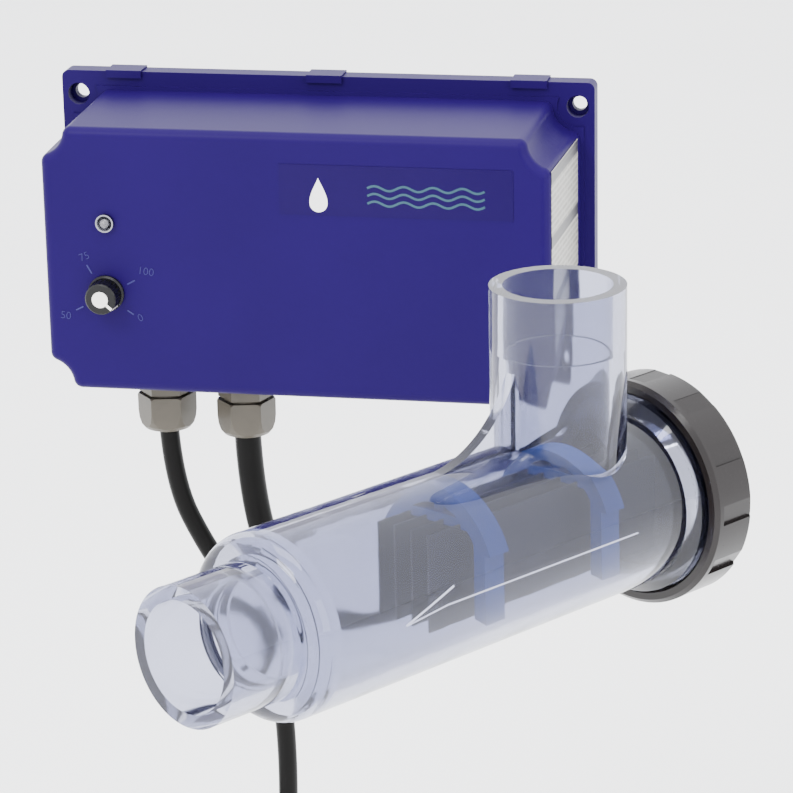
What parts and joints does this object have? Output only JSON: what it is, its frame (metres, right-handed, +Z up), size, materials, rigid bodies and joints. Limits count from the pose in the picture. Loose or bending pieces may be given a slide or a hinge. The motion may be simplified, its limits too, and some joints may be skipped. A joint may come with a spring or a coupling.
{
  "type": "salt chlorine generator",
  "caption": "Wall-hung control unit with a turning output knob and two cable glands, wired to a clear elbow flow cell holding an electrode pack behind a union nut.",
  "frame": {"origin": "centre of the control unit's back face, where it meets the wall", "axes": "+Z up, -Y out of the wall towards the user, +X to the right as the user sees it"},
  "size_m": [0.4158, 0.5558, 0.6249],
  "materials": {
    "blue_casing": "satin moulded plastic",
    "clear_pvc": "clear tinted pipe plastic",
    "black_plastic": "satin",
    "charcoal_plastic": "semi-gloss",
    "grey_nylon": "satin",
    "black_rubber": "matt",
    "blue_comb": "satin",
    "titanium": "brushed",
    "zinc_steel": "plated",
    "chrome_trim": "polished",
    "lamp_lens": "clear",
    "white_plastic": "gloss",
    "film": "printed film",
    "label_paper": "printed label",
    "board_green": "solder mask",
    "winding": "polyester tape",
    "aluminium": "extruded",
    "brass": "nickel plated brass",
    "pale_plastic": "ivory"
  },
  "bodies": {
    "root": {"anode_plates": "titanium", "back_tray": "blue_casing", "board_screws": "zinc_steel", "cable_tie": "black_plastic", "capacitors": "black_plastic", "cathode_plates": "titanium", "cell_gland_body": "grey_nylon", "cell_gland_locknut": "grey_nylon", "cell_gland_seal": "black_rubber", "cell_housing": "clear_pvc", "cell_lead": "black_rubber", "circuit_board": "board_green", "cover_gasket": "black_rubber", "cover_screws": "zinc_steel", "decal_panel": "film", "electrode_head": "charcoal_plastic", "front_comb": "blue_comb", "front_cover": "blue_casing", "fuse": "lamp_lens", "fuse_holder": "black_plastic", "head_o_ring": "black_rubber", "heat_sink": "aluminium", "led_bezel": "chrome_trim", "led_lens": "lamp_lens", "led_nut": "zinc_steel", "mains_cable": "black_rubber", "mains_coil": "black_rubber", "mains_gland_body": "grey_nylon", "mains_gland_locknut": "grey_nylon", "mains_gland_seal": "black_rubber", "mains_tail": "black_rubber", "plug_body": "black_rubber", "plug_pins": "brass", "potentiometer": "zinc_steel", "potentiometer_nut": "zinc_steel", "rating_label": "label_paper", "rear_comb": "blue_comb", "rectifier": "black_plastic", "relays": "pale_plastic", "terminal_block": "pale_plastic", "terminal_boot": "black_rubber", "terminal_nuts": "zinc_steel", "terminal_posts": "titanium", "toroid_bolt": "zinc_steel", "toroid_pad": "black_rubber", "toroid_transformer": "winding", "toroid_washer": "zinc_steel"},
    "knob": {"knob_body": "black_plastic", "knob_cap": "white_plastic", "control_shaft": "aluminium"},
    "slip_ring_body": {"slip_ring": "white_plastic"},
    "nut": {"union_nut": "charcoal_plastic"},
    "mains_nut": {"mains_gland_nut": "grey_nylon"},
    "cell_nut": {"cell_gland_nut": "grey_nylon"}
  },
  "joints": [
    {"name": "knob_turn", "type": "hinge", "parent": "root", "child": "knob", "pos_m": [-0.1043, -0.1, -0.0176], "axis": [0, 1, 0], "range_deg": [0, 300]},
    {"name": "nut_travel", "type": "slide", "parent": "root", "child": "slip_ring_body", "axis": [0.565, 0.8251, 0], "range_m": [0, 0.0121]},
    {"name": "nut_turn", "type": "hinge", "parent": "slip_ring_body", "child": "nut", "pos_m": [0.21398, -0.29819, -0.04383], "axis": [0.565, 0.8251, 0], "range_deg": [0, 1080]},
    {"name": "mains_gland_turn", "type": "hinge", "parent": "root", "child": "mains_nut", "pos_m": [-0.085, -0.056, -0.097], "axis": [0, 0, -1], "range_deg": [0, 1080]},
    {"name": "cell_gland_turn", "type": "hinge", "parent": "root", "child": "cell_nut", "pos_m": [-0.0396, -0.056, -0.098], "axis": [0, 0, -1], "range_deg": [0, 1080]}
  ],
  "couplings": [
    {"joint": "nut_travel", "follows": "nut_turn", "m_per_rad": 0.00063662}
  ]
}
